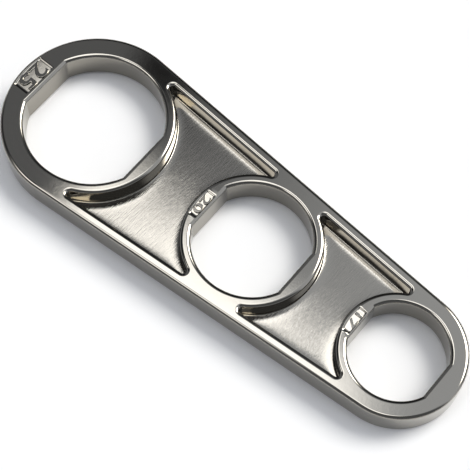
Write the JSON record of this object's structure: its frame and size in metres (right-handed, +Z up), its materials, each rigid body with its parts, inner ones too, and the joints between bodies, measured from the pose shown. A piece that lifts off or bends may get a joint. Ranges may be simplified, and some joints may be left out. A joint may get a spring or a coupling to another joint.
{
  "type": "faucet aerator wrench",
  "caption": "Flat bright-plated wrench bar with ring openings in falling sizes, each with opposed flats that grip a faucet aerator, and recessed webs between the rings.",
  "frame": {"origin": "under the middle of the bar, on the flat underside", "axes": "+X along the bar from the large ring to the small ring, +Y across the bar, +Z up out of the face with the recesses"},
  "size_m": [0.1038, 0.036, 0.0062],
  "materials": {
    "bright_plating": "bright plating with a dark, slightly warm nickel tone on a polished casting, with a slightly rougher cast skin on the recess floors"
  },
  "bodies": {
    "root": {"large_ring": "bright_plating", "middle_ring": "bright_plating", "small_ring": "bright_plating", "large_web": "bright_plating", "small_web": "bright_plating", "left_long_rail": "bright_plating", "right_long_rail": "bright_plating", "left_short_rail": "bright_plating", "right_short_rail": "bright_plating"}
  },
  "joints": []
}
